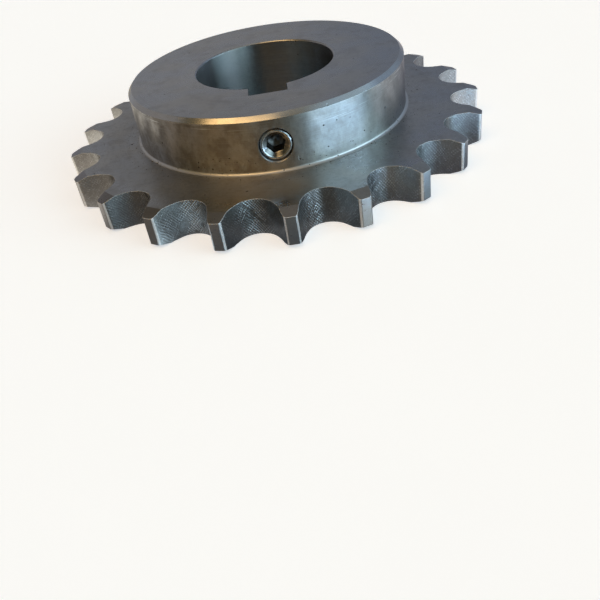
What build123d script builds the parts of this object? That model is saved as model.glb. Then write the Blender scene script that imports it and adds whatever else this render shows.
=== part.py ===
from build123d import *
import os
from math import acos, asin, atan2, cos, degrees, hypot, pi, radians, sin, sqrt

# Roller-chain sprocket: a toothed plate with a hub on one side, turned and
# hobbed from one piece of steel, a through bore with a keyway, and two
# hex-socket set screws in the hub.
#
# Frame: the origin is on the bore axis, in the plain face of the toothed plate.
# +Z runs along the bore towards the hub. -Y runs through the keyway and the
# set screw over it. The second set screw is towards -X.

# ---------------------------------------------------------------- dimensions, mm
# chain and teeth
chain_pitch = 15.875            # 5/8 in
roller_diameter = 10.16         # 0.400 in
tooth_count = 21
outside_diameter = 112.4
plate_thickness = 9.0
tooth_bevel_start_radius = 53.1  # both sides of the teeth are bevelled outside this
tooth_bevel_axial = 1.0
tip_corner_break = 0.42          # corners of the tooth tips
tooth_phase_deg = 0.79           # nearest tooth centre past the keyway centre line

# hub
hub_diameter = 73.0
hub_height = 13.8               # above the plate
hub_chamfer = 1.0               # 45 degrees
hub_root_fillet = 0.8

# bore and keyway
bore_diameter = 36.5125         # 1 7/16 in
bore_edge_break = 0.3
keyway_width = 9.525            # 3/8 in
keyway_floor_radius = 22.5      # bore axis to keyway floor
keyway_azimuth_deg = -90.0

# set screws, 5/16 in - 18
screw_azimuth_deg = (-90.0, 180.0)   # over the keyway, and a quarter turn from it
screw_height = 15.56            # above the plate's plain face
screw_major_diameter = 7.94
screw_length = 12.7
tapped_hole_diameter = 8.0
hole_edge_break_depth = 0.35
hole_edge_break_half_angle_deg = 30.0
screw_sunk = 0.30               # outer end below the hub's round surface
screw_end_chamfer_radial = 0.50
screw_end_chamfer_axial = 0.35
screw_point_diameter = 4.1
screw_cup_depth = 0.9
socket_across_flats = 3.97      # 5/32 in
socket_depth = 4.0
socket_mouth_diameter = 6.4     # wide cone that leads into the socket
socket_mouth_depth = 0.75
socket_turn_deg = 12.0

# ---------------------------------------------------------------- derived
pitch_radius = chain_pitch / (2 * sin(pi / tooth_count))
outside_radius = outside_diameter / 2
hub_radius = hub_diameter / 2
bore_radius = bore_diameter / 2
overall_length = plate_thickness + hub_height
pitch_angle = 360.0 / tooth_count


def turned_blank():
    """Plate, hub and bore as one turned section."""
    top = overall_length
    b = bore_edge_break
    f = hub_root_fillet
    centre = (hub_radius + f, plate_thickness + f)
    mid = (centre[0] - f * cos(pi / 4), centre[1] - f * sin(pi / 4))
    p = [
        (bore_radius, b),
        (bore_radius + b, 0.0),
        (tooth_bevel_start_radius, 0.0),
        (outside_radius, tooth_bevel_axial),
        (outside_radius, plate_thickness - tooth_bevel_axial),
        (tooth_bevel_start_radius, plate_thickness),
        (hub_radius + f, plate_thickness),
    ]
    q = [
        (hub_radius, plate_thickness + f),
        (hub_radius, top - hub_chamfer),
        (hub_radius - hub_chamfer, top),
        (bore_radius + b, top),
        (bore_radius, top - b),
        (bore_radius, b),
    ]
    at = lambda rz: (rz[0], 0.0, rz[1])
    edges = [Line(at(p[i]), at(p[i + 1])) for i in range(len(p) - 1)]
    edges.append(ThreePointArc(at(p[-1]), at(mid), at(q[0])))
    edges += [Line(at(q[i]), at(q[i + 1])) for i in range(len(q) - 1)]
    face = make_face(Curve() + edges)
    return revolve(face, axis=Axis.Z, revolution_arc=360)


def tooth_space():
    """One tooth space, standing on the XY plane and opening towards +Y.

    The form is the usual one for roller chain: a seating curve, a working
    curve, a short straight length and a topping curve, mirrored about the
    middle of the space, with the tip corners broken.
    """
    n = tooth_count
    dr = roller_diameter
    angle_a = radians(35 + 60 / n)
    angle_b = radians(18 - 56 / n)
    seat_r = 0.5025 * dr + 0.0381
    work_r = 1.3025 * dr + 0.0381
    work_c = (-0.8 * dr * cos(angle_a), 0.8 * dr * sin(angle_a))
    top_r = dr * (0.8 * cos(angle_b) + 1.4 * cos(radians(17 - 64 / n)) - 1.3025) - 0.0381
    top_c = (1.4 * dr * cos(pi / n), -1.4 * dr * sin(pi / n))
    straight = dr * (1.4 * sin(radians(17 - 64 / n)) - 0.8 * sin(angle_b))

    seat = lambda a: (seat_r * cos(a), -seat_r * sin(a))
    work = lambda a: (work_c[0] + work_r * cos(a), work_c[1] - work_r * sin(a))
    a_end = angle_a - angle_b
    y = work(a_end)
    z = (y[0] + straight * sin(a_end), y[1] + straight * cos(a_end))
    start = atan2(z[1] - top_c[1], z[0] - top_c[0])
    topping = lambda a: (top_c[0] + top_r * cos(a), top_c[1] + top_r * sin(a))

    # the topping curve is followed until it is one tip break below the tip
    lo, hi = start, start - 1.2
    for _ in range(60):
        m = (lo + hi) / 2
        u = topping(m)
        if hypot(u[0], u[1] + pitch_radius) < outside_radius - tip_corner_break:
            lo = m
        else:
            hi = m
    end = (lo + hi) / 2
    tip = topping(end)

    # 45 degree corner break, carried on outside the blank
    out = (tip[0], tip[1] + pitch_radius)
    length = hypot(*out)
    radial = (out[0] / length, out[1] / length)
    side = (radial[1], -radial[0])
    run = 1.6
    beyond = (tip[0] + run * (radial[0] + side[0]), tip[1] + run * (radial[1] + side[1]))

    half = [
        ("arc", seat(pi / 2), seat((pi / 2 + angle_a) / 2), seat(angle_a)),
        ("arc", seat(angle_a), work((angle_a + a_end) / 2), y),
        ("line", y, z),
        ("arc", z, topping((start + end) / 2), tip),
        ("line", tip, beyond),
    ]
    edges = []
    for s in (1, -1):
        at = lambda q: (s * q[0], q[1] + pitch_radius, 0.0)
        for e in half:
            pts = [at(q) for q in e[1:]]
            edges.append(ThreePointArc(*pts) if e[0] == "arc" else Line(*pts))
    edges.append(Line((beyond[0], beyond[1] + pitch_radius, 0.0),
                      (-beyond[0], beyond[1] + pitch_radius, 0.0)))
    return make_face(Curve() + edges)


def radial_plane(azimuth_deg, radius):
    """Plane at a height and radius, with its Z pointing away from the bore."""
    a = radians(azimuth_deg)
    return Plane(origin=(radius * cos(a), radius * sin(a), screw_height),
                 x_dir=(-sin(a), cos(a), 0.0), z_dir=(cos(a), sin(a), 0.0))


up = (Align.CENTER, Align.CENTER, Align.MIN)

# ---------------------------------------------------------------- body
body = turned_blank()

space = extrude(Pos(0, 0, -1) * tooth_space(), amount=plate_thickness + 2, dir=(0, 0, 1))
first = keyway_azimuth_deg + tooth_phase_deg + pitch_angle / 2 - 90.0
for i in range(tooth_count):
    body -= Rot(0, 0, first + i * pitch_angle) * space

keyway = Pos(0, 0, -1) * Box(keyway_floor_radius, keyway_width, overall_length + 2,
                             align=(Align.MIN, Align.CENTER, Align.MIN))
body -= Rot(0, 0, keyway_azimuth_deg) * keyway

flare = hole_edge_break_depth + 1.0
flare_radius = tapped_hole_diameter / 2 + flare * sin(radians(hole_edge_break_half_angle_deg)) \
    / cos(radians(hole_edge_break_half_angle_deg))
for azimuth in screw_azimuth_deg:
    start = bore_radius * 0.6
    hole = radial_plane(azimuth, start) * Cylinder(
        tapped_hole_diameter / 2, hub_radius + 2 - start, align=up)
    mouth = radial_plane(azimuth, hub_radius - hole_edge_break_depth) * Cone(
        tapped_hole_diameter / 2, flare_radius, flare, align=up)
    body -= hole
    body -= mouth


# ---------------------------------------------------------------- set screw
def set_screw():
    """Cup-point screw standing on its point, its socket end towards +Z."""
    r = screw_major_diameter / 2
    rp = screw_point_diameter / 2
    rm = socket_mouth_diameter / 2
    flat = socket_across_flats / 2
    l = screw_length
    pts = [
        (0.0, screw_cup_depth),
        (rp - 0.15, 0.0),
        (rp, 0.0),
        (r, r - rp),
        (r, l - screw_end_chamfer_axial),
        (r - screw_end_chamfer_radial, l),
        (rm, l),
        (flat, l - socket_mouth_depth),
        (flat, l - socket_depth),
        (0.0, l - socket_depth - flat * 0.6),
        (0.0, screw_cup_depth),
    ]
    section = make_face(Curve() + [
        Line((pts[i][0], 0.0, pts[i][1]), (pts[i + 1][0], 0.0, pts[i + 1][1]))
        for i in range(len(pts) - 1)])
    screw = revolve(section, axis=Axis.Z, revolution_arc=360)
    hexagon = extrude(
        Pos(0, 0, l - socket_depth) * RegularPolygon(flat, 6, major_radius=False,
                                                     rotation=socket_turn_deg),
        amount=socket_depth + 1)
    return screw - hexagon


screw_start = hub_radius - screw_sunk - screw_length
keyway_set_screw = radial_plane(screw_azimuth_deg[0], screw_start) * set_screw()
side_set_screw = radial_plane(screw_azimuth_deg[1], screw_start) * set_screw()

# ---------------------------------------------------------------- output
parts = {
    "sprocket_body": body,
    "keyway_set_screw": keyway_set_screw,
    "side_set_screw": side_set_screw,
}
os.makedirs("parts", exist_ok=True)
for name, shape in parts.items():
    solids = shape.solids()
    out = solids[0] if len(solids) == 1 else Compound(children=list(solids))
    export_step(out, f"parts/{name}.step")
    bb = out.bounding_box()
    print(name, len(solids), "solid(s)", round(out.volume, 1), "mm3",
          [round(v, 3) for v in (*bb.min, *bb.max)])
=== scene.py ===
import bpy, bmesh, math
from mathutils import Matrix, Vector


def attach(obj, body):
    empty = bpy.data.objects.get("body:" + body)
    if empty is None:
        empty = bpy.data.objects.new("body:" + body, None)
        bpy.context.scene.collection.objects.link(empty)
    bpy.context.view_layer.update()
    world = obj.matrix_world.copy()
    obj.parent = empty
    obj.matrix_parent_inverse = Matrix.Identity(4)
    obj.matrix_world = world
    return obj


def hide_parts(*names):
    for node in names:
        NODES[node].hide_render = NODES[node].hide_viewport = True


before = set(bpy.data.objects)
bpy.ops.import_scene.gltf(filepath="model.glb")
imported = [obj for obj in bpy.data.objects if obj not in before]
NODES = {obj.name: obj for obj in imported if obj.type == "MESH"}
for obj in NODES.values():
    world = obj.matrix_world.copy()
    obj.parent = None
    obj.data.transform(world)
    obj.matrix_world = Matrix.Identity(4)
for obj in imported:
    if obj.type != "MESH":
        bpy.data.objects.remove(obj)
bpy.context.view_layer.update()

MM = 0.001

# ------------------------------------------------------------------ sizes used by the finishes, mm
TEETH = 21
PITCH_R = 15.875 / (2 * math.sin(math.pi / TEETH))
FIRST_TOOTH = math.radians(-90.0 + 0.79)
HUB_R, BORE_R, PLATE_T, TOP, FILLET = 36.5, 18.256, 9.0, 22.8, 0.8


# ------------------------------------------------------------------ node helpers
class Mat:
    def __init__(self, name):
        self.m = bpy.data.materials.new(name)
        self.m.use_nodes = True
        self.t = self.m.node_tree
        self.t.nodes.clear()
        self.out = self.t.nodes.new("ShaderNodeOutputMaterial")
        self.b = self.t.nodes.new("ShaderNodeBsdfPrincipled")
        self.t.links.new(self.b.outputs[0], self.out.inputs[0])

    def _in(self, sock, v):
        if v is None:
            return
        if isinstance(v, bpy.types.NodeSocket):
            self.t.links.new(v, sock)
        elif isinstance(v, (tuple, list)) and sock.type == "RGBA" and len(v) == 3:
            sock.default_value = (*v, 1.0)
        else:
            sock.default_value = v

    def math(self, op, a, b=None, c=None, clamp=False):
        n = self.t.nodes.new("ShaderNodeMath"); n.operation = op; n.use_clamp = clamp
        for s, v in zip(n.inputs, (a, b, c)):
            self._in(s, v)
        return n.outputs[0]

    def add(self, a, b): return self.math("ADD", a, b)
    def sub(self, a, b): return self.math("SUBTRACT", a, b)
    def mul(self, a, b): return self.math("MULTIPLY", a, b)
    def mad(self, a, b, c): return self.math("MULTIPLY_ADD", a, b, c)

    def xyz(self, x=0.0, y=0.0, z=0.0):
        n = self.t.nodes.new("ShaderNodeCombineXYZ")
        for s, v in zip(n.inputs, (x, y, z)):
            self._in(s, v)
        return n.outputs[0]

    def split(self, v):
        n = self.t.nodes.new("ShaderNodeSeparateXYZ"); self._in(n.inputs[0], v)
        return n.outputs

    def step(self, v, lo, hi, a=0.0, b=1.0):
        """smooth step of v from lo to hi, giving a to b"""
        n = self.t.nodes.new("ShaderNodeMapRange"); n.interpolation_type = "SMOOTHSTEP"
        for s, q in zip(n.inputs[:5], (v, lo, hi, a, b)):
            self._in(s, q)
        return n.outputs[0]

    def band(self, v, lo, hi, soft):
        return self.mul(self.step(v, lo - soft, lo + soft), self.step(v, hi - soft, hi + soft, 1.0, 0.0))

    def noise(self, vec, scale=1.0, detail=2.0, rough=0.5, dist=0.0, colour=False):
        n = self.t.nodes.new("ShaderNodeTexNoise")
        self._in(n.inputs["Vector"], vec)
        n.inputs["Scale"].default_value = scale; n.inputs["Detail"].default_value = detail
        n.inputs["Roughness"].default_value = rough; n.inputs["Distortion"].default_value = dist
        return n.outputs["Color" if colour else "Fac"]

    def voronoi(self, vec, scale=1.0, feature="F1"):
        n = self.t.nodes.new("ShaderNodeTexVoronoi"); n.feature = feature
        self._in(n.inputs["Vector"], vec); n.inputs["Scale"].default_value = scale
        return n.outputs

    def mix(self, f, a, b):
        n = self.t.nodes.new("ShaderNodeMix"); n.data_type = "RGBA"; n.clamp_factor = True
        self._in(n.inputs[0], f); self._in(n.inputs[6], a); self._in(n.inputs[7], b)
        return n.outputs[2]

    def mixf(self, f, a, b):
        n = self.t.nodes.new("ShaderNodeMix"); n.data_type = "FLOAT"; n.clamp_factor = True
        self._in(n.inputs[0], f); self._in(n.inputs[2], a); self._in(n.inputs[3], b)
        return n.outputs[0]

    def mixv(self, f, a, b):
        n = self.t.nodes.new("ShaderNodeMix"); n.data_type = "VECTOR"; n.clamp_factor = True
        self._in(n.inputs[0], f); self._in(n.inputs[4], a); self._in(n.inputs[5], b)
        return n.outputs[1]

    def bump(self, height, distance, strength=1.0, normal=None):
        n = self.t.nodes.new("ShaderNodeBump")
        n.inputs["Strength"].default_value = strength; n.inputs["Distance"].default_value = distance
        self._in(n.inputs["Height"], height)
        if normal is not None:
            self._in(n.inputs["Normal"], normal)
        return n.outputs[0]

    def place(self, name, v):
        self._in(self.b.inputs[name], v)


def coords(m):
    """object position in mm, radius, angle and the surface normal's z"""
    tc = m.t.nodes.new("ShaderNodeTexCoord")
    sc = m.t.nodes.new("ShaderNodeVectorMath"); sc.operation = "SCALE"
    m._in(sc.inputs[0], tc.outputs["Object"]); sc.inputs["Scale"].default_value = 1000.0
    p = sc.outputs[0]
    x, y, z = m.split(p)
    r = m.math("SQRT", m.add(m.mul(x, x), m.mul(y, y)))
    th = m.math("ARCTAN2", y, x)
    g = m.t.nodes.new("ShaderNodeNewGeometry")
    nx, ny, nz = m.split(g.outputs["Normal"])
    return p, x, y, z, r, th, nx, ny, nz


# ------------------------------------------------------------------ machined steel
def machined_steel(name, kind):
    """kind: turned (walls cut on the lathe), bored, face (flat faces and chamfers), teeth (cut tooth spaces)"""
    m = Mat(name)
    p, x, y, z, r, th, nx, ny, nz = coords(m)
    anz = m.math("ABSOLUTE", nz)
    face = m.step(anz, 0.80, 0.90)                 # turned flat faces
    wall = m.step(anz, 0.30, 0.45, 1.0, 0.0)       # round walls and flanks
    flank = m.mul(wall, m.step(r, 45.0, 46.0))     # tooth spaces and tips
    land = m.mul(flank, m.step(r, 56.02, 56.12))
    hubside = m.mul(wall, m.band(r, 34.0, 40.0, 0.3))
    inner = m.mul(wall, m.step(r, 26.0, 27.0, 1.0, 0.0))
    slot = m.mul(inner, m.step(r, 18.36, 18.5))

    # ---- turning marks: fine grooves round the axis, across r on faces and across z on walls
    u = m.mixf(face, z, r)
    cth, sth = m.math("COSINE", th), m.math("SINE", th)
    groove_vec = m.xyz(m.mad(u, 5.2, face), m.mul(cth, 1.3), m.mul(sth, 1.3))
    groove = m.noise(groove_vec, 1.0, 4.0, 0.62)
    broad_vec = m.xyz(m.mad(u, 0.75, m.mad(face, 9.0, 4.0)), m.mul(cth, 0.9), m.mul(sth, 0.9))
    broad = m.noise(broad_vec, 1.0, 3.0, 0.55)

    # ---- mottling left by handling and an oil film
    mott = m.noise(p, 0.085, 4.0, 0.6)
    mott2 = m.noise(p, 0.24, 5.0, 0.62)
    fine = m.noise(p, 0.9, 5.0, 0.6)
    grain = m.noise(p, 4.2, 3.0, 0.65)
    smear_vec = m.xyz(m.mul(cth, 11.0), m.mul(sth, 11.0), m.mul(z, 0.16))
    smear = m.noise(smear_vec, 1.0, 4.0, 0.62)

    # ---- hobbing marks in the tooth spaces: two crossing sets of short diagonal cuts, with painted glints on them in a zone that follows where each flank faces the window
    pitch = 2 * math.pi / TEETH
    rel = m.sub(th, FIRST_TOOTH)
    cell = m.math("FLOORED_MODULO", m.math("FLOOR", m.math("DIVIDE", rel, pitch)), TEETH)
    loc = m.sub(m.math("FLOORED_MODULO", rel, pitch), pitch / 2)
    gx = m.mul(r, m.math("SINE", loc))
    gy = m.sub(m.mul(r, m.math("COSINE", loc)), PITCH_R)
    psi = m.math("ARCTAN2", gx, m.mul(gy, -1.0))
    s = m.mul(psi, 5.14)
    wob = m.noise(m.xyz(m.mul(s, 0.5), m.mul(z, 0.5), cell), 1.0, 2.0, 0.5)
    da = m.add(m.mad(s, 0.80, m.mul(z, 0.60)), m.mul(wob, 0.5))
    db = m.add(m.mad(s, 0.74, m.mul(z, -0.67)), m.mul(wob, 0.6))
    la, lb = m.mad(s, -0.60, m.mul(z, 0.80)), m.mad(s, 0.67, m.mul(z, 0.74))
    wave_a = m.mad(m.math("SINE", m.mul(da, 2 * math.pi / 0.52)), 0.5, 0.5)
    wave_b = m.mad(m.math("SINE", m.mul(db, 2 * math.pi / 0.56)), 0.5, 0.5)
    cut_a = m.step(m.noise(m.xyz(m.mul(da, 0.9), m.mul(la, 0.30), cell), 1.0, 2.0, 0.55), 0.32, 0.50)
    cut_b = m.step(m.noise(m.xyz(m.mul(db, 0.9), m.mul(lb, 0.30), m.add(cell, 7.3)), 1.0, 2.0, 0.55), 0.42, 0.60)
    apsi = m.math("ABSOLUTE", m.add(psi, m.mul(m.sub(wob, 0.5), 0.5)))
    space = m.mad(m.add(cell, 0.5), pitch, FIRST_TOOTH)                    # azimuth of this tooth space
    # position of the painted glint within each tooth space, following the direction of the light
    glint_psi = m.mad(m.math("SINE", m.add(space, math.radians(98))), -1.3, -0.30)
    glint_psi = m.math("MINIMUM", m.math("MAXIMUM", glint_psi, -0.72), 0.50)
    from_glint_psi = m.math("ABSOLUTE", m.add(m.sub(psi, glint_psi), m.mul(m.sub(wob, 0.5), 0.6)))
    edge = m.mul(m.band(anz, 0.22, 0.80, 0.06), m.step(r, 47.0, 47.6))    # painted highlight along the broken edges of the teeth
    corner_highlight = m.mul(wall, m.band(r, 55.66, 56.10, 0.06))                    # painted highlight on the broken corners of the tooth tips
    hob_glint_zone = m.mad(m.step(from_glint_psi, 0.30, 0.85, 1.0, 0.0), 0.66, 0.48)
    hob_marks_and_glints = m.mul(m.add(m.mul(wave_a, cut_a), m.mul(m.mul(wave_b, cut_b), 0.8)), hob_glint_zone)
    facet = m.noise(m.xyz(m.mul(s, 1.1), m.mul(z, 0.05), cell), 1.0, 1.0, 0.5)

    # ---- small pits, clustered, more of them round the foot of the hub
    near_foot = m.mul(m.band(r, 36.0, 41.0, 1.5), m.band(z, 8.5, 13.0, 1.0))
    vo = m.voronoi(p, 0.62)
    vsel = m.split(vo["Color"])[0]
    cluster = m.noise(p, 0.16, 2.0, 0.5)
    thresh = m.add(m.mul(m.step(cluster, 0.52, 0.70), 0.20), m.mul(near_foot, 0.42))
    sel = m.math("LESS_THAN", vsel, m.add(thresh, 0.016))
    psize = m.mad(m.split(vo["Color"])[1], 0.13, 0.05)
    pit = m.mul(m.step(m.sub(vo["Distance"], psize), -0.03, 0.05, 1.0, 0.0), sel)
    vo2 = m.voronoi(p, 1.45)
    sel2 = m.math("LESS_THAN", m.split(vo2["Color"])[0], m.mul(near_foot, 0.42))
    psize2 = m.mad(m.split(vo2["Color"])[1], 0.14, 0.10)
    pit = m.math("MAXIMUM", pit, m.mul(m.step(m.sub(vo2["Distance"], psize2), -0.05, 0.06, 1.0, 0.0), sel2))
    pit = m.mul(pit, m.sub(1.0, flank))

    # ---- a few long scratches on the faces and the hub
    sv = m.xyz(m.mad(x, 0.35, m.mul(y, 0.9)), m.mad(x, 0.05, m.mul(y, -0.02)), m.mul(z, 0.2))
    scr = m.noise(sv, 1.0, 6.0, 0.7)
    scratch = m.mul(m.step(m.math("ABSOLUTE", m.sub(scr, 0.5)), 0.0, 0.006, 1.0, 0.0),
                    m.step(m.noise(p, 0.22, 2.0, 0.5), 0.52, 0.64))

    # ---- fine scuffs that run round the hub below its chamfer
    scuff = m.mul(m.step(m.noise(m.xyz(m.mul(z, 4.6), m.mul(cth, 4.0), m.mul(sth, 4.0)), 1.0, 4.0, 0.6), 0.56, 0.66),
                  m.step(m.noise(m.xyz(m.mad(z, 0.20, 9.1), m.mul(cth, 2.3), m.mul(sth, 2.3)), 1.0, 2.0, 0.5), 0.43, 0.56))
    scuff = m.mul(m.mul(scuff, hubside), m.step(z, 17.2, 20.6))

    # ---- colour
    steel = (0.46, 0.455, 0.45)
    cool = (0.42, 0.43, 0.455)
    warm = (0.50, 0.465, 0.415)
    c = m.mix(m.step(mott, 0.35, 0.65), cool, warm)
    c = m.mix(0.45, c, steel)
    fillet = m.mul(m.band(r, 36.54, 37.24, 0.04), m.band(z, 8.95, 9.82, 0.04))
    chamfer = m.mul(m.band(r, 35.45, 36.60, 0.05), m.step(z, 21.7, 21.9))
    # strongest at the bottom of each tooth space, used below as painted shade
    root = m.mul(m.sub(flank, land), m.step(apsi, 0.25, 1.15, 1.0, 0.25))
    top = m.mul(face, m.step(z, 22.0, 22.4))       # the hub's end face is the smoothest cut
    rest = m.mad(top, -0.70, 1.0)
    c = m.mix(m.mul(m.mul(m.step(fine, 0.46, 0.74), 0.60), rest), c, (0.33, 0.315, 0.30))
    c = m.mix(m.mul(m.mul(m.step(grain, 0.50, 0.72), 0.45), rest), c, (0.28, 0.27, 0.26))
    c = m.mix(m.mul(m.step(mott2, 0.48, 0.68), 0.50), c, (0.32, 0.30, 0.285))
    c = m.mix(m.mul(m.mul(hubside, m.step(smear, 0.42, 0.66)), 0.34), c, (0.25, 0.235, 0.22))
    # random dark clouds on the hub's side, strong on its left half (x below 2 mm) and faint on the right where the
    # window's highlight falls: random tone weighted as painted shade
    cloud = m.noise(m.xyz(m.mul(x, 0.23), m.mul(y, 0.23), m.mul(z, 0.17)), 1.0, 6.0, 0.68)
    c = m.mix(m.mul(m.mul(hubside, m.step(cloud, 0.42, 0.62)), m.step(x, 2.0, 12.0, 0.74, 0.20)), c, (0.22, 0.20, 0.18))
    # painted light in the bore: walls darker overall and much darker on the right (x above -7 mm) as painted shade, and
    # a pale streak on the far left wall (x below -5 mm) as a painted reflection of the window
    c = m.mix(m.mul(inner, 0.22), c, (0.26, 0.265, 0.27))
    c = m.mix(m.mul(m.mul(inner, m.step(x, -7.0, 3.0)), 0.52), c, (0.13, 0.135, 0.14))
    c = m.mix(m.mul(inner, m.step(x, -13.0, -5.0, 0.60, 0.0)), c, (0.62, 0.63, 0.66))
    # painted shade: the right edge of the hub's side (x above 26 mm) darker
    c = m.mix(m.mul(m.mul(hubside, m.step(x, 26.0, 34.0)), 0.50), c, (0.20, 0.20, 0.205))
    c = m.mix(m.mul(m.step(groove, 0.42, 0.70), 0.16), c, (0.60, 0.595, 0.59))
    # painted shade: the tooth spaces darker than the rest, and darker still towards the bottom of each space
    c = m.mix(m.mul(m.sub(flank, land), 0.45), c, (0.30, 0.31, 0.32))
    c = m.mix(m.mul(root, 0.50), c, (0.13, 0.13, 0.12))
    # painted highlights: the fillet at the hub's foot and the hub's chamfer lighter than the steel
    c = m.mix(m.mul(fillet, 0.70), c, (0.72, 0.71, 0.70))
    c = m.mix(m.mul(chamfer, 0.50), c, (0.66, 0.65, 0.63))
    # a dark brown patch on the plate under the keyway's screw, painted shade that dims the plate's reflection of the
    # screw, and grain on the cut tooth spaces
    sx, sy = m.add(x, 0.8), m.add(y, 45.0)
    screw_reflection_shade = m.add(m.math("SQRT", m.add(m.mul(m.mul(sx, sx), 0.45), m.mul(sy, sy))), m.mul(m.sub(fine, 0.5), 4.0))
    screw_reflection_shade = m.mul(m.mul(face, m.step(z, 15.0, 16.0, 1.0, 0.0)), m.step(screw_reflection_shade, 2.4, 6.4, 1.0, 0.0))
    c = m.mix(m.mul(screw_reflection_shade, 0.60), c, (0.24, 0.185, 0.12))
    speck = m.noise(p, 2.7, 3.0, 0.7)
    c = m.mix(m.mul(m.mul(flank, m.step(speck, 0.50, 0.66)), 0.40), c, (0.66, 0.68, 0.70))
    # painted shade: the bevels on the tooth tops darker, more on the left (x below 2 mm) than on the right
    tooth_bevel = m.mul(face, m.step(r, 53.05, 53.15))
    c = m.mix(m.mul(tooth_bevel, m.step(x, 2.0, 16.0, 0.60, 0.16)), c, (0.24, 0.21, 0.215))
    c = m.mix(m.mul(scuff, 0.72), c, (0.86, 0.88, 0.90))
    # painted highlight: the tooth tip lands lighter
    c = m.mix(m.mul(land, 0.45), c, (0.74, 0.75, 0.77))
    # painted glints: the hob marks coloured near white, strongest in the zone where each flank faces the window
    c = m.mix(m.mul(m.mul(m.sub(flank, land), m.step(hob_marks_and_glints, 0.45, 0.95)), 0.70), c, (0.86, 0.88, 0.90))
    # painted highlight: the broken edges of the teeth near white
    c = m.mix(m.mul(edge, 0.90), c, (0.95, 0.95, 0.95))
    c = m.mix(m.mul(corner_highlight, 0.70), c, (0.93, 0.93, 0.94))
    c = m.mix(m.mul(scratch, 0.30), c, (0.62, 0.62, 0.62))
    c = m.mix(m.mul(pit, 0.82), c, (0.060, 0.050, 0.042))
    m.place("Base Color", c)
    # the painted edge and corner highlights are made less metallic
    m.place("Metallic", m.mad(corner_highlight, -0.45, m.mad(edge, -0.70, 1.0)))

    # ---- roughness
    base = {"turned": 0.36, "bored": 0.33, "face": 0.28, "teeth": 0.34}[kind]
    ro = m.mad(mott, 0.07, base - 0.035)
    ro = m.add(ro, m.mul(m.mul(m.sub(fine, 0.5), 0.14), rest))
    ro = m.add(ro, m.mul(m.mul(hubside, m.sub(smear, 0.5)), 0.06))
    ro = m.add(ro, m.mul(m.mul(hubside, m.sub(cloud, 0.5)), m.step(x, 2.0, 12.0, 0.20, 0.08)))
    ro = m.add(ro, m.mul(m.mul(face, m.mul(m.step(z, 15.0, 16.0, 1.0, 0.0), m.step(r, 42.0, 50.0, 1.0, 0.0))), m.step(x, 3.0, 13.0, 0.10, 0.0)))
    ro = m.add(ro, m.mul(m.sub(broad, 0.5), 0.08))
    ro = m.add(ro, m.mul(pit, 0.3))
    ro = m.sub(ro, m.mul(m.mul(flank, m.step(hob_marks_and_glints, 0.40, 0.9)), 0.06))
    ro = m.add(ro, m.mul(m.mul(face, m.step(z, 15.0, 16.0, 1.0, 0.0)), 0.02))
    ro = m.sub(ro, m.mul(chamfer, 0.07))
    ro = m.add(ro, m.mul(fillet, 0.07))
    ro = m.add(ro, m.mul(edge, 0.22))
    ro = m.add(ro, m.mul(screw_reflection_shade, 0.20))
    ro = m.add(ro, m.mul(m.mul(m.sub(mott2, 0.5), rest), 0.16))
    m.place("Roughness", m.math("MAXIMUM", ro, 0.12))

    # ---- relief
    h = m.mul(m.sub(groove, 0.5), m.mixf(flank, 0.0040, 0.0))
    h = m.add(h, m.mul(m.sub(broad, 0.5), m.mixf(flank, 0.006, 0.0)))
    h = m.add(h, m.mul(m.mul(m.sub(grain, 0.5), 0.0038), rest))
    h = m.add(h, m.mul(m.mul(m.sub(fine, 0.5), 0.005), rest))
    h = m.add(h, m.mul(m.mul(hob_marks_and_glints, flank), m.mixf(land, 0.055, 0.004)))
    h = m.add(h, m.mul(m.mul(facet, flank), 0.030))
    h = m.sub(h, m.mul(pit, 0.06))
    h = m.sub(h, m.mul(scratch, 0.004))
    m.place("Normal", m.bump(h, 0.001))

    # ---- highlights stretch across the turning marks: along z on walls, along the radius on faces
    tang = m.mixv(face, m.xyz(0.0, 0.0, 1.0), m.xyz(cth, sth, 0.0))
    m.b.inputs["Anisotropic"].default_value = {"turned": 0.90, "bored": 0.93, "face": 0.30, "teeth": 0.72}[kind]
    m.place("Tangent", tang)
    return m.m


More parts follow.
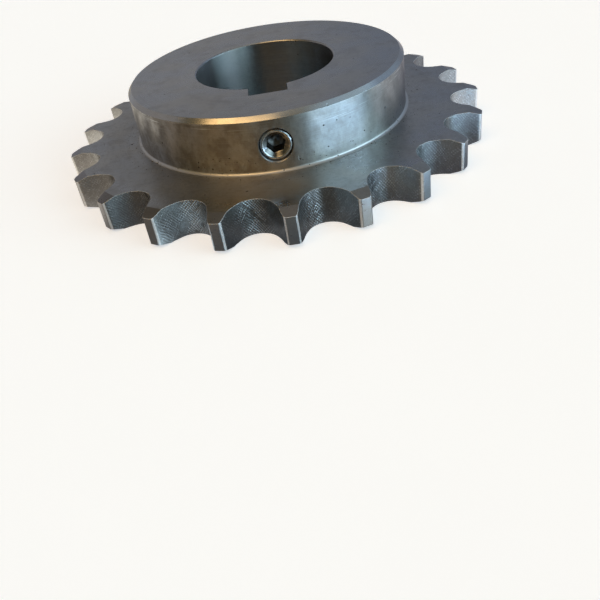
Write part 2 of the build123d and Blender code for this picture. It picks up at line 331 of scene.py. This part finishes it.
# ------------------------------------------------------------------ set screw steel
def screw_steel(name, azimuth):
    m = Mat(name)
    p, x, y, z, r, th, nx, ny, nz = coords(m)
    # distance from the screw's own axis, and along it
    along = m.mad(x, math.cos(azimuth), m.mul(y, math.sin(azimuth)))
    across = m.mad(x, -math.sin(azimuth), m.mul(y, math.cos(azimuth)))
    up = m.sub(z, SCREW_Z)
    rad = m.math("SQRT", m.add(m.mul(across, across), m.mul(up, up)))
    ang = m.math("ARCTAN2", up, across)
    fine = m.noise(p, 1.6, 5.0, 0.62)
    grain = m.noise(p, 7.0, 3.0, 0.6)
    mott = m.noise(p, 0.45, 3.0, 0.5)
    turned = m.noise(m.xyz(m.mul(rad, 9.0), m.mul(ang, 0.8), m.mul(along, 0.8)), 1.0, 3.0, 0.6)
    rim = m.mul(m.band(rad, 2.98, 3.50, 0.08), m.step(along, 35.6, 35.9))
    socket = m.mul(m.step(rad, 2.32, 2.45, 1.0, 0.0), m.step(along, 34.9, 35.4, 1.0, 0.0))
    c = m.mix(m.step(mott, 0.38, 0.66), (0.27, 0.28, 0.30), (0.36, 0.345, 0.32))
    # painted highlight: a light ring round the screw's end face
    c = m.mix(m.mul(rim, 0.75), c, (0.72, 0.72, 0.72))
    c = m.mix(m.mul(m.step(fine, 0.48, 0.72), 0.6), c, (0.11, 0.10, 0.092))
    c = m.mix(m.mul(m.step(turned, 0.45, 0.7), 0.3), c, (0.62, 0.62, 0.62))
    # painted shade: the mouth of the socket and the socket itself darker
    cone = m.mul(m.step(rad, 2.85, 2.98, 1.0, 0.0), m.step(along, 34.9, 35.3))
    c = m.mix(m.mul(cone, 0.50), c, (0.10, 0.10, 0.10))
    c = m.mix(m.mul(socket, 0.72), c, (0.07, 0.068, 0.066))
    m.place("Base Color", c)
    m.b.inputs["Metallic"].default_value = 1.0
    m.place("Roughness", m.add(m.mad(fine, 0.16, 0.12), m.mul(socket, 0.12)))
    h = m.add(m.mul(m.sub(fine, 0.5), 0.010), m.mul(m.sub(grain, 0.5), 0.004))
    h = m.add(h, m.mul(m.sub(turned, 0.5), 0.004))
    m.place("Normal", m.bump(h, 0.001))
    return m.m


TURNED = machined_steel("machined_steel_turned", "turned")
FACED = machined_steel("machined_steel_faced", "face")
TOOTHED = machined_steel("machined_steel_teeth", "teeth")
BORED = machined_steel("machined_steel_bored", "bored")


# ------------------------------------------------------------------ body: the CAD surface, welded, with its edges broken
def detailed_body(name, node, edge):
    src = NODES[node]
    bm = bmesh.new()
    bm.from_mesh(src.data)
    bmesh.ops.remove_doubles(bm, verts=bm.verts, dist=1e-6)

    # the fillet at the foot of the hub is rebuilt as even rings
    def rz(co):
        return math.hypot(co.x, co.y) / MM, co.z / MM
    top_z, foot_r = PLATE_T + FILLET, HUB_R + FILLET

    def in_fillet(f):
        return all(HUB_R - 0.02 < rz(v.co)[0] < foot_r + 0.02 and PLATE_T - 0.01 < rz(v.co)[1] < top_z + 0.01 for v in f.verts)
    old = [f for f in bm.faces if in_fillet(f)]
    bmesh.ops.delete(bm, geom=old, context="FACES")
    angle = lambda v: math.atan2(v.co.y, v.co.x)
    open_verts = {v for e in bm.edges if e.is_boundary for v in e.verts}
    hi = sorted((v for v in open_verts if abs(rz(v.co)[1] - top_z) < 0.02 and abs(rz(v.co)[0] - HUB_R) < 0.02), key=angle)
    lo = sorted((v for v in open_verts if abs(rz(v.co)[1] - PLATE_T) < 0.02 and abs(rz(v.co)[0] - foot_r) < 0.02), key=angle)
    loose = [v for v in bm.verts if not v.link_faces]
    bmesh.ops.delete(bm, geom=loose, context="VERTS")
    rings, k = [hi], 8
    for i in range(1, k):
        t = math.pi / 2 * i / k
        r, z = foot_r - FILLET * math.cos(t), top_z - FILLET * math.sin(t)
        rings.append([bm.verts.new((r * math.cos(angle(v)) * MM, r * math.sin(angle(v)) * MM, z * MM)) for v in hi])
    n = len(hi)
    for p, q in zip(rings, rings[1:]):
        for j in range(n):
            bm.faces.new((p[j], q[j], q[(j + 1) % n], p[(j + 1) % n]))
    p, q, i, j = rings[-1], lo, 0, 0
    while i < n or j < len(q):
        ai = angle(p[(i + 1) % n]) + (2 * math.pi if i + 1 >= n else 0)
        aj = angle(q[(j + 1) % len(q)]) + (2 * math.pi if j + 1 >= len(q) else 0)
        if j >= len(q) or (i < n and ai <= aj):
            bm.faces.new((p[i % n], q[j % len(q)], p[(i + 1) % n])); i += 1
        else:
            bm.faces.new((p[i % n], q[j % len(q)], q[(j + 1) % len(q)])); j += 1
    bmesh.ops.recalc_face_normals(bm, faces=bm.faces)
    bmesh.ops.dissolve_limit(bm, angle_limit=math.radians(0.25), verts=bm.verts, edges=bm.edges)

    for f in bm.faces:
        r, z = rz(f.calc_center_median())
        far = max(rz(v.co)[0] for v in f.verts)
        wall = abs(f.normal.z) < 0.3
        f.material_index = 2 if wall and far > 47.0 else 3 if wall and far < 24.0 else 0 if wall else 1
    lay = bm.edges.layers.float.new("bevel_weight_edge")
    for e in bm.edges:
        e.smooth = True
        if len(e.link_faces) == 2:
            f, g = e.link_faces
            turn = math.degrees(e.calc_face_angle())
            both_teeth = f.material_index == 2 and g.material_index == 2
            if turn > (24 if both_teeth else 12):
                e[lay] = 1.0 if turn > 30 and 2 in (f.material_index, g.material_index) else 0.6 if turn > 30 else 0.35
    left_open = sum(1 for e in bm.edges if not e.is_manifold)
    me = bpy.data.meshes.new(name)
    bm.to_mesh(me); bm.free()
    me.shade_smooth()
    o = bpy.data.objects.new(name, me)
    bpy.context.scene.collection.objects.link(o)
    for finish in (TURNED, FACED, TOOTHED, BORED):
        me.materials.append(finish)
    bev = o.modifiers.new("edge_break", "BEVEL")
    bev.width = edge * MM
    bev.segments = 2
    bev.limit_method = "WEIGHT"
    bev.miter_outer = "MITER_ARC"
    wn = o.modifiers.new("even_normals", "WEIGHTED_NORMAL")
    wn.mode = "FACE_AREA"; wn.weight = 100; wn.keep_sharp = True
    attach(o, "root")
    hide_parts(node)
    if left_open:
        raise RuntimeError("the body surface has %d open edges" % left_open)
    return o


detailed_body("sprocket_body_detailed", "sprocket_body", 0.19)

# ------------------------------------------------------------------ set screws with their thread
SCREW_Z = 15.56
SCREW_R, SCREW_LEN, SCREW_END = 3.97, 12.7, 36.2       # thread radius, length, outer end's radius from the bore axis
THREAD_PITCH, THREAD_DEPTH = 25.4 / 18, 0.78


def set_screw(name, azimuth, node, turn):
    """hex-socket set screw with a cup point, built ring by ring from its point to the bottom of its socket"""
    n = 96
    flat = 3.97 / 2
    l = SCREW_LEN

    def hex_r(a):
        k = (a - turn) % (math.pi / 3) - math.pi / 6
        return flat / math.cos(k)

    def tri(t):
        t = t % 1.0
        return 1 - abs(2 * t - 1)                  # 0 at the crest, 1 at the root

    rings = []                                     # each ring: function angle -> (radius, height)

    def plain(r, h):
        rings.append(lambda a, r=r, h=h: (r, h))
    for r, h in ((0.55, 0.62), (1.2, 0.30), (1.75, 0.03), (1.90, 0.0), (2.05, 0.02)):
        plain(r, h)
    steps = 150
    for i in range(steps + 1):
        h = 0.10 + (l - 0.10 - 0.06) * i / steps

        def ring(a, h=h):
            env = min(SCREW_R, 2.05 + (h - 0.02) * 1.0, SCREW_R - 0.50 + (l - h) * 1.43)
            depth = THREAD_DEPTH * min(1.0, max(0.0, tri(h / THREAD_PITCH - a / (2 * math.pi)) * 1.25 - 0.12))
            return (max(min(env, SCREW_R - depth), 0.0), h)
        rings.append(ring)
    plain(3.42, l - 0.015)
    plain(3.30, l)
    plain(3.16, l - 0.012)
    for i in range(1, 11):
        d = 0.85 * i / 10
        c = 3.16 + (flat * 0.98 - 3.16) * i / 10
        rings.append(lambda a, d=d, c=c: (max(c, hex_r(a)), l - 0.012 - d))
    for d in (1.2, 2.2, 3.2, 3.9, 4.0):
        rings.append(lambda a, d=d: (hex_r(a) - (0.04 if d == 4.0 else 0.0), l - d))
    plain(1.45, l - 4.12)
    plain(0.70, l - 4.60)

    bm = bmesh.new()
    ca, sa = math.cos(azimuth), math.sin(azimuth)
    base = SCREW_END - l

    def point(r, a, h):
        t, v, o = r * math.cos(a), r * math.sin(a), base + h
        return Vector((o * ca - t * sa, o * sa + t * ca, SCREW_Z + v)) * MM
    loops = []
    for f in rings:
        loop = []
        for j in range(n):
            a = 2 * math.pi * j / n
            r, h = f(a)
            loop.append(bm.verts.new(point(r, a, h)))
        loops.append(loop)
    for a, b in zip(loops, loops[1:]):
        for j in range(n):
            k = (j + 1) % n
            bm.faces.new((a[j], a[k], b[k], b[j]))
    lo = bm.verts.new(point(0, 0, 0.90))
    hi = bm.verts.new(point(0, 0, l - 5.0))
    for j in range(n):
        k = (j + 1) % n
        bm.faces.new((lo, loops[0][k], loops[0][j]))
        bm.faces.new((hi, loops[-1][j], loops[-1][k]))
    bmesh.ops.recalc_face_normals(bm, faces=bm.faces)
    me = bpy.data.meshes.new(name)
    bm.to_mesh(me); bm.free()
    me.shade_smooth()
    me.set_sharp_from_angle(angle=math.radians(34))
    o = bpy.data.objects.new(name, me)
    bpy.context.scene.collection.objects.link(o)
    me.materials.append(screw_steel(name + "_finish", azimuth))
    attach(o, "root")
    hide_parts(node)
    return o


set_screw("keyway_screw_detailed", math.radians(-90), "keyway_set_screw", math.radians(12))
set_screw("side_screw_detailed", math.radians(180), "side_set_screw", math.radians(31))

# ------------------------------------------------------------------ studio light
# soft boxes on the dome: azimuths and elevations in degrees (azimuth from +X towards +Y), soft edge, light
DOME = [
    ((-180, 180), (-8, 95), 6.0, (0.09, 0.08, 0.05)),          # room
    ((-61, 6), (-6, 36), 4.0, (0.95, 1.52, 1.78)),             # tall window, right
    ((-44, -14), (8, 34), 4.0, (0.90, 1.20, 1.45)),            # its brightest pane
    ((-72, -54), (-6, 16), 4.0, (0.86, 1.27, 1.60)),
    ((-50, 20), (36, 62), 6.0, (0.30, 0.44, 0.58)),            # its upper part
    ((-165, -88), (43, 66), 5.0, (2.60, 1.65, 0.70)),          # warm lamp, high front left
    ((-185, -140), (-6, 42), 6.0, (0.11, 0.08, 0.04)),
    ((85, 130), (-6, 30), 6.0, (0.22, 0.24, 0.30)),            # back wall
    ((130, 175), (-6, 45), 6.0, (0.19, 0.19, 0.22)),
    ((45, 85), (-6, 45), 6.0, (0.11, 0.15, 0.24)),
    ((12, 45), (-6, 45), 6.0, (0.17, 0.26, 0.40)),
    ((38, 76), (36, 62), 6.0, (0.10, 0.13, 0.16)),
    ((-180, 180), (67, 95), 6.0, (0.34, 0.35, 0.35)),          # ceiling
]
# pools of light on the table: azimuths, span of radius in m, light
TABLE = [
    ((-170, -142), (0.049, 0.090), (0.24, 0.22, 0.20)),
    ((-142, -110), (0.049, 0.090), (0.10, 0.10, 0.10)),
    ((-110, -60), (0.049, 0.090), (0.07, 0.08, 0.09)),
    ((-60, -20), (0.049, 0.090), (0.12, 0.13, 0.16)),
    ((-20, 20), (0.049, 0.090), (0.85, 0.90, 1.00)),
    ((20, 100), (0.049, 5.0), (0.38, 0.37, 0.40)),
    ((100, 190), (0.049, 0.082), (1.00, 0.93, 0.80)),
    ((100, 190), (0.082, 5.0), (0.36, 0.33, 0.28)),
    ((-170, -110), (0.090, 0.150), (0.42, 0.28, 0.15)),
    ((-110, -64), (0.090, 0.150), (0.19, 0.19, 0.13)),
    ((-66, -27), (0.090, 0.150), (4.10, 6.10, 8.10)),
    ((-122, -111), (0.0530, 0.0585), (0.62, 0.84, 0.98)),
    ((-178, -150), (0.052, 0.068), (0.38, 0.34, 0.29)),
    ((150, 185), (0.052, 0.068), (0.80, 0.72, 0.60)),
    ((-16, 2), (0.061, 0.075), (0.60, 0.54, 0.50)),
    ((-76, -60), (0.056, 0.072), (0.35, 0.33, 0.28)),
    ((-22, 20), (0.090, 0.150), (0.87, 0.93, 0.92)),
    ((-110, -60), (0.150, 5.0), (0.32, 0.50, 0.60)),
    ((-180, 180), (-1.0, 0.019), (0.04, 0.08, 0.11)),
    ((-180, 180), (0.019, 0.049), (0.30, 0.30, 0.31)),         # hidden under the part
]
FLOOR_GLOW = 0.57

# ------------------------------------------------------------------ floor
def disc(name, radius, height):
    me = bpy.data.meshes.new(name)
    bm = bmesh.new()
    bmesh.ops.create_circle(bm, cap_ends=True, segments=96, radius=radius)
    bm.to_mesh(me); bm.free()
    o = bpy.data.objects.new(name, me)
    bpy.context.scene.collection.objects.link(o)
    o.location.z = height
    return o


floor = disc("floor", 3.0, -0.00002)
fmat = Mat("floor_paper")
tc = fmat.t.nodes.new("ShaderNodeTexCoord")
fn = fmat.noise(tc.outputs["Object"], 40.0, 3.0, 0.5)
fmat.place("Base Color", fmat.mix(fn, (0.80, 0.80, 0.80), (0.83, 0.83, 0.83)))
fmat.b.inputs["Roughness"].default_value = 0.9
fmat.b.inputs["Specular IOR Level"].default_value = 0.1
fmat.b.inputs["Emission Color"].default_value = (0.97, 0.98, 1.0, 1.0)
fmat.b.inputs["Emission Strength"].default_value = FLOOR_GLOW
# the floor is one-sided, so the part can also be looked at from underneath
under = fmat.t.nodes.new("ShaderNodeNewGeometry")
clear = fmat.t.nodes.new("ShaderNodeBsdfTransparent")
side = fmat.t.nodes.new("ShaderNodeMixShader")
fmat.t.links.new(under.outputs["Backfacing"], side.inputs[0])
fmat.t.links.new(fmat.b.outputs[0], side.inputs[1])
fmat.t.links.new(clear.outputs[0], side.inputs[2])
fmat.t.links.new(side.outputs[0], fmat.out.inputs[0])
floor.data.materials.append(fmat.m)
floor.visible_glossy = False

# pale backdrop all round, seen only by the camera
bme = bpy.data.meshes.new("backdrop")
bb = bmesh.new()
bmesh.ops.create_uvsphere(bb, u_segments=48, v_segments=24, radius=2.99)
bb.to_mesh(bme); bb.free()
backdrop = bpy.data.objects.new("backdrop", bme)
bpy.context.scene.collection.objects.link(backdrop)
bmat = Mat("backdrop_paper")
bmat.b.inputs["Base Color"].default_value = (0.0, 0.0, 0.0, 1.0)
bmat.b.inputs["Roughness"].default_value = 1.0
bmat.b.inputs["Specular IOR Level"].default_value = 0.0
bmat.b.inputs["Emission Color"].default_value = (1.0, 1.0, 0.985, 1.0)
bmat.b.inputs["Emission Strength"].default_value = 0.97
bme.materials.append(bmat.m)
for ray in ("visible_diffuse", "visible_glossy", "visible_shadow", "visible_transmission"):
    setattr(backdrop, ray, False)

# what the polished walls see of the table: dim, with the pools of light that the lamps throw on it
table = disc("table_glow", 0.6, -0.00012)
table.visible_camera = False; table.visible_diffuse = False; table.visible_shadow = False


class Glow(Mat):
    """light that depends on place or direction: soft-edged patches added together"""
    def __init__(self, tree, out, emitter):
        self.t = tree
        self.t.nodes.clear()
        self.out = self.t.nodes.new(out)
        self.b = self.t.nodes.new(emitter)
        self.t.links.new(self.b.outputs[0], self.out.inputs[0])
        self.total = None

    def patch(self, x, y, v, azimuths, span, edge, v_edge, colour):
        """a patch between two azimuths (degrees, from +X towards +Y) and between two values of v"""
        a = math.radians((azimuths[0] + azimuths[1]) / 2)
        half = math.radians((azimuths[1] - azimuths[0]) / 2)
        e = math.radians(edge)
        mask = self.mul(self.step(v, span[0] - v_edge, span[0] + v_edge), self.step(v, span[1] - v_edge, span[1] + v_edge, 1.0, 0.0))
        if half < math.pi - 0.01:
            along = self.mad(x, math.cos(a), self.mul(y, math.sin(a)))
            across = self.mad(y, math.cos(a), self.mul(x, -math.sin(a)))
            rel = self.math("ABSOLUTE", self.math("ARCTAN2", across, along))
            mask = self.mul(mask, self.step(rel, half - e, half + e, 1.0, 0.0))
        n = self.t.nodes.new("ShaderNodeVectorMath"); n.operation = "MULTIPLY_ADD"
        self._in(n.inputs[0], mask); n.inputs[1].default_value = colour
        if self.total is None:
            n.inputs[2].default_value = (0.0, 0.0, 0.0)
        else:
            self._in(n.inputs[2], self.total)
        self.total = n.outputs[0]


gm = bpy.data.materials.new("table_glow"); gm.use_nodes = True
g = Glow(gm.node_tree, "ShaderNodeOutputMaterial", "ShaderNodeEmission")
gx, gy, _ = g.split(g.t.nodes.new("ShaderNodeTexCoord").outputs["Object"])
gr = g.math("SQRT", g.add(g.mul(gx, gx), g.mul(gy, gy)))
for azimuths, span, colour in TABLE:
    g.patch(gx, gy, gr, azimuths, span, 3.0 if colour[2] > 3.0 or span[1] < 0.061 else 7.0,
            0.002 if span[1] < 0.061 and span[0] > 0.05 else 0.004 if span[0] < 0.06 else 0.010, colour)
g.place("Color", g.total)
table.data.materials.append(gm)

# ------------------------------------------------------------------ light: a studio dome of soft boxes
world = bpy.data.worlds.new("studio"); world.use_nodes = True
bpy.context.scene.world = world
w = Glow(world.node_tree, "ShaderNodeOutputWorld", "ShaderNodeBackground")
wn = w.t.nodes.new("ShaderNodeVectorMath"); wn.operation = "NORMALIZE"
w._in(wn.inputs[0], w.t.nodes.new("ShaderNodeTexCoord").outputs["Generated"])
wx, wy, wz = w.split(wn.outputs[0])
we = w.mul(w.math("ARCSINE", wz), 180 / math.pi)
for azimuths, span, edge, colour in DOME:
    w.patch(wx, wy, we, azimuths, span, edge, edge, colour)
w.place("Color", w.total)

# ------------------------------------------------------------------ camera
cd = bpy.data.cameras.new("camera")
cam = bpy.data.objects.new("camera", cd)
bpy.context.scene.collection.objects.link(cam)
bpy.context.scene.camera = cam
cd.sensor_fit = "HORIZONTAL"; cd.sensor_width = 36.0; cd.lens = 39.862
cd.clip_start = 0.005; cd.clip_end = 10.0
right = Vector((0.987456, -0.085348, -0.132839))
down = Vector((-0.157346, -0.601977, -0.782857))
fwd = Vector((-0.013151, 0.793939, -0.607855))
rot = Matrix((right, -down, -fwd)).transposed().to_4x4()
cam.matrix_world = Matrix.Translation(Vector((1.8134, -177.9558, 79.1012)) * MM) @ rot

bpy.context.scene.view_settings.view_transform = "Standard"
